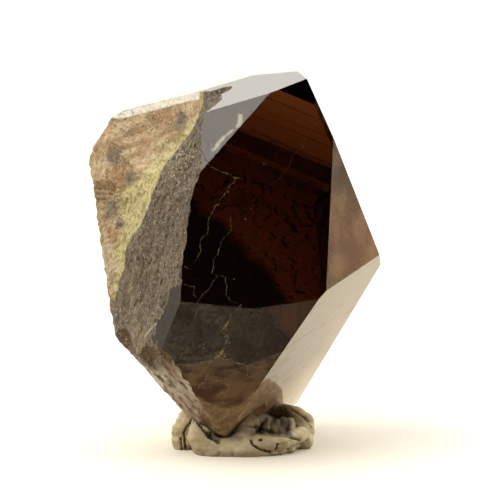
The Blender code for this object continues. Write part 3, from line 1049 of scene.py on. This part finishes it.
def right_face_painted_reflection(make, across, up, blotch):
    """Painted reflection on the long right face: a pale cover with thin darker streaks that rise to the right."""
    turn = math.radians(37.0)
    along = across * math.cos(turn) + up * math.sin(turn)
    athwart = up * math.cos(turn) - across * math.sin(turn)
    drawn = make.add("ShaderNodeCombineXYZ", X=along * 0.045, Y=athwart)
    streaks = make.noise(drawn, 2.6, 4.0, 0.7)
    lines = (streaks - 0.40).size().falls(0.0, 0.035) * (athwart + 2.5).rises(0.0, 4.5)
    base = make.mix((athwart * -0.11 + 0.45 + (blotch - 0.5) * 0.8).clipped(), (0.90, 0.865, 0.765),
                           (0.92, 0.845, 0.70))
    return make.mix((lines * 0.42 + streaks.rises(0.5, 0.75) * 0.15).clipped(), base, (0.20, 0.15, 0.10))


def quartz_base(make):
    """Where each point of the crystal lies, with the noise and the face marks that its colours share."""
    place = make.add("ShaderNodeTexCoord", output=3)
    across, up = sheet(make, place)
    grain, blotch = make.noise(place, 1400.0, 4.0, 0.7), make.noise(place, 220.0, 4.0)
    turned = make.add("ShaderNodeMapping", Vector=place, Rotation=(0.0, 0.6, 0.3), Scale=(0.6, 1.0, 1.3))
    ridges = make.noise(turned, 560.0, 4.0)
    facet = named_value(make, "facet")
    flat = {name: is_facet(facet, name) for name in ("right_face", "right_tip_face", "left_face", "left_tip_face")}
    return SimpleNamespace(place=place, across=across, up=up, grain=grain, blotch=blotch, ridges=ridges, flat=flat,
                           low=is_facet(facet, "lower_right", "lower_left"), broken=named_value(make, "broken"),
                           frosted=named_value(make, "frosted"),
                           brown=foot_colour(make, place, grain, blotch, ridges))


def broken_colour(make, on, inward, stained, foot):
    """Colour of the broken sides: granular flank, stained hollow, brown foot, painted highlights on the ledges, a
    painted reflection above the top face border, dark back.
    """
    flank = granular_colour(make, on.place, on.across, on.up)
    colour = make.mix(stained, flank, hollow_colour(make, on.place, on.across, on.up, inward))
    colour = make.mix(foot * 0.92, colour, on.brown)
    # Painted highlights: the white stripes stand for light catching the ledges.
    ledges = left_ledge_highlights(make, on.across, on.up, on.blotch)
    colour = make.mix(ledges * 0.9, colour, (0.86, 0.82, 0.72))
    # Painted reflection: the pale band above the top face border stands for the light that the grazed top face
    # reflects.
    top_painted_reflection = (on.up - traced_flat(make, on.across, TOP_FACE_BORDER)).rises(0.0, 0.2)
    colour = make.mix(top_painted_reflection * (on.across + 6.5).falls(0.0, 0.5) * 0.9, colour, (0.82, 0.79, 0.70))
    back = make.mix(on.grain.rises(0.4, 0.7), (0.012, 0.006, 0.003), (0.05, 0.028, 0.014))
    return make.mix(on.frosted, colour, back)


def below_line(make, on, line, ragged, low, high):
    """1 under a line on the sheet, with its edge made ragged."""
    return (on.up - traced_flat(make, on.across, line) + ragged).falls(low, high)


def rubbed_parts(make, on):
    """The rubbed parts of flat faces: under the lip, lowest, and the chunk of the right face."""
    under = on.low * below_line(make, on, LIP, (on.grain - 0.5) * 0.6, -0.3, 0.1)
    lowest = on.low * below_line(make, on, FOOT_BORDER, (on.blotch - 0.5) * 1.5, -0.5, 0.4)
    chunk = on.flat["right_face"] * below_line(make, on, CHUNK_BORDER, (on.grain - 0.5) * 0.8, -0.4, 0.3)
    return under, lowest, chunk


def veil_colour(make, on, under, lowest, chunk, frost):
    """Colour of what covers the flat faces, with the painted reflection on the right face."""
    patchy = (on.blotch * 0.4 + on.ridges * 0.6).rises(0.40, 0.60)
    dark = make.mix(patchy, (0.052, 0.028, 0.013), (0.23, 0.155, 0.090))
    veil = make.mix(under, (0.55, 0.52, 0.46), dark)
    curls = hairlines(make, on.place, 240.0, 0.008) * on.ridges.rises(0.45, 0.55)
    veil = make.mix(under * curls * 0.6, veil, (0.62, 0.54, 0.40))
    veil = make.mix(lowest, veil, on.brown)
    # Painted reflection: the right face's pale cover stands for the background that it mirrors at a grazing angle.
    right_reflection_colour = right_face_painted_reflection(make, on.across, on.up, on.blotch)
    veil = make.mix(on.flat["right_face"] * (1.0 - chunk), veil, right_reflection_colour)
    veil = make.mix(chunk, veil, on.brown)
    rusty = make.mix(on.blotch.rises(0.35, 0.65), (0.42, 0.20, 0.075), (0.62, 0.37, 0.17))
    veil = make.mix(on.flat["right_tip_face"], veil, rusty)
    black = make.mix(on.grain.rises(0.4, 0.65), (0.010, 0.005, 0.003), (0.026, 0.015, 0.009))
    veil = make.mix(on.flat["left_face"], veil, black)
    return make.mix(on.flat["left_tip_face"] * (1.0 - frost), veil, (0.20, 0.145, 0.105))


def veil_share(make, on, under, lowest, chunk, frost):
    """How much of each flat face is covered: dust, frost, film, rubbed parts and the painted reflection on the right
    face.
    """
    right = on.flat["right_face"]
    leftward = (on.across + 2.0).falls(-4.0, 8.0)
    dust = specks(make, on.place, 1.5, 0.09, 0.22, 1) + specks(make, on.place, 0.7, 0.05, 0.08, 2)
    dust = dust + on.low * specks(make, on.place, 0.6, 0.06, 0.22, 3) * leftward * 0.7
    film = on.low * (1.0 - under) * (0.20 + leftward * 0.35) * on.blotch.rises(0.30, 0.62)
    right_tip = 0.10 + on.blotch.rises(0.3, 0.7) * 0.14 + on.up.falls(36.0, 43.0) * 0.20
    share = dust * (1.0 - on.broken) * (1.0 - right) + frost * 0.5
    share = share + on.flat["left_tip_face"] * (0.10 + on.blotch.rises(0.35, 0.65) * 0.12)
    # right * 0.68 is how much of the right face the painted reflection covers.
    share = share + film * (0.07 + on.grain.rises(0.42, 0.62) * 0.34) + under * 0.75 + lowest * 0.15 + right * 0.68
    return share + chunk * 0.25 + on.flat["right_tip_face"] * right_tip + on.flat["left_face"] * 0.85


def quartz_crust(make, on, colour, stained, lowest, chunk):
    """The opaque skin of broken, rubbed and dusty parts, and of the painted reflection on the right face."""
    sparkling = sparkle_normal(make, on.place, 0.36, 0.7)
    bump = make.bump(on.grain, 0.6, 0.0003, Normal=sparkling)
    rough = (on.ridges * 0.6 + on.grain * 0.4) * (0.5 + lowest * 1.5 + chunk * 1.5)
    rubbed = make.bump(rough, 0.6, 0.0003, Normal=make.add("ShaderNodeNewGeometry", output=1))
    return make.add("ShaderNodeBsdfPrincipled", Base_Color=colour, Normal=make.mix(on.broken, rubbed, bump),
                    Roughness=0.38 + stained * 0.2 + (1.0 - on.broken) * 0.15)


def clear_quartz(make, on):
    prism = named_value(make, "prism")
    height = on.blotch * on.frosted + growth_lines(make, on.place) * prism * 0.07 * (1.0 - on.flat["left_face"])
    return make.add("ShaderNodeBsdfPrincipled", Base_Color=(1.0, 1.0, 1.0), Roughness=on.broken * 0.16,
                    IOR=QUARTZ_IOR, Transmission_Weight=1.0, Normal=make.bump(height, 0.5, 0.0004))


def quartz_material():
    material, make = new_recipe("smoky_quartz")
    on = quartz_base(make)
    across, up, grain, blotch = on.across, on.up, on.grain, on.blotch

    # Which broken part is which
    inward = traced(make, up, HOLLOW_RIM) - across
    stained = (inward + (grain - 0.5) * 0.8).rises(-0.05, 0.15) * (up + blotch * 2.0).rises(21.5, 25.0)
    foot = (up + (blotch - 0.5) * 5.0 + across * 0.25).falls(9.5, 13.0) * (across + 13.0).rises(0.0, 3.0)
    grime = (up + across * 1.1 + blotch * 8.0 - 34.0).falls(-1.0, 2.5) * up.rises(13.0, 19.0)
    patches = blotch.rises(0.55, 0.75) * 0.4
    worn = on.frosted * (grime * 0.92 + (1.0 - grime) * patches) + (1.0 - on.frosted) * (0.94 - foot * 0.10)

    under, lowest, chunk = rubbed_parts(make, on)
    frost = frost_mask(make, across, up, blotch, grain) * on.flat["left_tip_face"]
    veil = veil_colour(make, on, under, lowest, chunk, frost)
    cover_and_painted_reflection = veil_share(make, on, under, lowest, chunk, frost).clipped()
    colour = make.mix(on.broken, veil, broken_colour(make, on, inward, stained, foot))
    crust = quartz_crust(make, on, colour, stained, lowest, chunk)
    surface = make.add("ShaderNodeMixShader", i0=(on.broken * worn + cover_and_painted_reflection).clipped(), i1=clear_quartz(make, on),
                       i2=crust)
    soak = tuple(1.0 - value / SOAK_SCALE for value in SOAK)
    make.finish(surface, make.add("ShaderNodeVolumeAbsorption", Color=soak, Density=SOAK_SCALE))
    return material


def crack_material(name, tone):
    """Filled hairline: one tone broken up by fine grain and paler spots."""
    material, make = new_recipe(name)
    place = make.add("ShaderNodeTexCoord", output=3)
    grain = make.noise(place, 2500.0, 3.0)
    colour = make.mix(grain.rises(0.42, 0.60), tuple(part * 0.12 for part in tone), tone)
    bump = make.bump(grain, 0.5, 0.0001)
    make.finish(make.add("ShaderNodeBsdfPrincipled", Base_Color=colour, Roughness=0.5, Normal=bump))
    return material


def putty_material():
    """Cream tack, kneaded with grey and brown dirt, darker grey-brown in the grooved hollow, with painted shade in
    the folds and cracks and painted highlights on the bulges.
    """
    material, make = new_recipe("mineral_putty")
    place = make.add("ShaderNodeTexCoord", output=3)
    across, up = sheet(make, place)
    fold = named_value(make, "fold")
    soft = make.noise(place, 260.0, 5.0)
    fine = make.noise(place, 1800.0, 4.0, 0.65)
    streak = make.add("ShaderNodeMapping", Vector=place, Rotation=(0.0, 0.5, 0.6), Scale=(1.0, 0.25, 2.6))
    smears = make.noise(streak, 420.0, 4.0)
    cream = make.ramp(soft * 0.5 + smears * 0.5, (0.30, 0.33, 0.245, 0.135), (0.45, 0.62, 0.51, 0.30),
                      (0.62, 0.84, 0.76, 0.53))
    grooved = (across - 1.6).rises(0.0, 1.2) * (across - 7.6 - soft * 1.2).falls(0.0, 1.2)
    grooved = grooved * (up - 0.5 + across * 0.02).rises(0.0, 0.8) * (make.part(place, 1) - 0.0015).falls(0.0, 0.0025)
    upright = make.add("ShaderNodeCombineXYZ", X=across + up * 0.25, Y=up * 0.22)
    pleats = make.noise(upright, 1.1, 4.0, 0.6)
    grey = make.mix((pleats * 0.7 + smears * 0.3).rises(0.44, 0.62), (0.026, 0.016, 0.006),
                           (0.25, 0.175, 0.085))
    colour = make.mix(grooved * 0.95, cream, grey)
    brown = ((across + 0.4).size() - soft * 3.0).falls(0.4, 2.6) * (up + (smears - 0.5) * 4.0).rises(-1.8, 1.8)
    colour = make.mix(brown * 0.8, colour, (0.20, 0.122, 0.062))
    kneaded = (across - 4.0).falls(0.0, 4.0) * (across + 8.5).rises(0.0, 1.5) * smears.rises(0.46, 0.62)
    colour = make.mix(kneaded * 0.40, colour, (0.26, 0.195, 0.125))
    # Painted highlight: bulges, where fold is below zero, are lightened towards pale cream.
    colour = make.mix((0.0 - fold).rises(0.25, 1.0) * 0.35, colour, (0.80, 0.74, 0.60))
    # Painted shade: deep folds and cracks are darkened to near-black brown.
    colour = make.mix((fold + (fine - 0.5) * 0.8).rises(0.12, 0.95) * 0.85, colour, (0.075, 0.048, 0.025))
    dots = specks(make, place, 1.1, 0.10, 0.25, 5)
    colour = make.mix(dots * 0.6, colour, (0.06, 0.045, 0.03))
    bump = make.bump(fine * 0.5 + smears * 0.5, 0.6, 0.00035)
    make.finish(make.add("ShaderNodeBsdfPrincipled", Base_Color=colour, Roughness=0.66, Normal=bump))
    return material


# Stage

def floor_material():
    """White paper that, to all but camera rays, falls off into dimmer, warmer light in front of the stand and far out
    to the right; to the camera it is white with a painted shadow in cream round the putty.
    """
    material, make = new_recipe("pale_paper")
    place = make.add("ShaderNodeTexCoord", output=3)
    back = make.part(place, 1).rises(-0.015, 0.030)
    right = make.part(place, 0).rises(0.06, 0.13)
    seen = make.add("ShaderNodeLightPath", output=0)
    dim = make.mix(back * (1.0 - right * 0.6), (0.34, 0.275, 0.20), (0.92, 0.86, 0.74))
    # Painted shadow: to the camera the paper turns cream within about 60 mm of the putty.
    beside = make.vector("DISTANCE", place, (0.004, -0.006, 0.0), output=1)
    paper_and_painted_shadow = make.mix(beside.rises(0.012, 0.060), (0.94, 0.905, 0.81), (1.0, 1.0, 1.0))
    tone = make.mix(seen, dim, paper_and_painted_shadow)
    make.finish(make.add("ShaderNodeBsdfPrincipled", Base_Color=tone, Roughness=0.9))
    return material


def build_floor():
    mesh = bmesh.new()
    bmesh.ops.create_grid(mesh, x_segments=2, y_segments=2, size=3.0)
    floor = mesh_object("floor", mesh)
    floor.data.materials.append(floor_material())


def build_light():
    """Bright tent all round, with a dark opening on the viewer's side."""
    world = bpy.data.worlds.new("light_tent")
    bpy.context.scene.world = world
    world.use_nodes = True
    make = Recipe(world)
    way = make.add("ShaderNodeTexCoord", output=0)
    height = make.dot(way, (0.0, 0.0, 1.0))
    ahead = make.dot(way, tuple(Vector((0.30, -0.93, 0.20)).normalized()))
    opening = ahead.rises(0.55, 0.85)
    lamp = make.dot(way, tuple(Vector((-0.65, -0.16, 0.75)).normalized()))
    rear = make.part(way, 1).rises(0.55, 0.92)
    beside = make.part(way, 0).rises(0.45, 0.95)
    strength = (0.55 + rear * 1.0 + beside * 0.9 + height.rises(0.25, 0.8) * 1.0 + lamp.rises(0.86, 0.95) * 2.6) * (
        1.0 - opening * 0.97)
    seen = make.add("ShaderNodeLightPath", output=0)
    strength = strength * (1.0 - seen) + seen * 1.6
    tint = make.mix(seen, (1.0, 0.955, 0.875), (1.0, 1.0, 1.0))
    glow = make.add("ShaderNodeBackground", Color=tint, Strength=strength)
    make.finish(glow, kind="ShaderNodeOutputWorld")
    bpy.context.scene.view_settings.view_transform = "Standard"


def build_camera():
    camera = bpy.data.cameras.new("camera")
    camera.lens = LENS
    camera.sensor_width = SENSOR
    camera.clip_end = 20.0
    thing = bpy.data.objects.new("camera", camera)
    bpy.context.scene.collection.objects.link(thing)
    back = Vector((0.0, -math.cos(RISE), math.sin(RISE))) * VIEW_DISTANCE
    thing.location = (Vector(PHOTO_MIDDLE) + back) * MM
    thing.rotation_euler = (math.radians(90.0 - VIEW_RISE), 0.0, 0.0)
    bpy.context.scene.camera = thing


build_camera()
build_floor()
build_light()
build_crystal()
build_cracks()
build_putty()
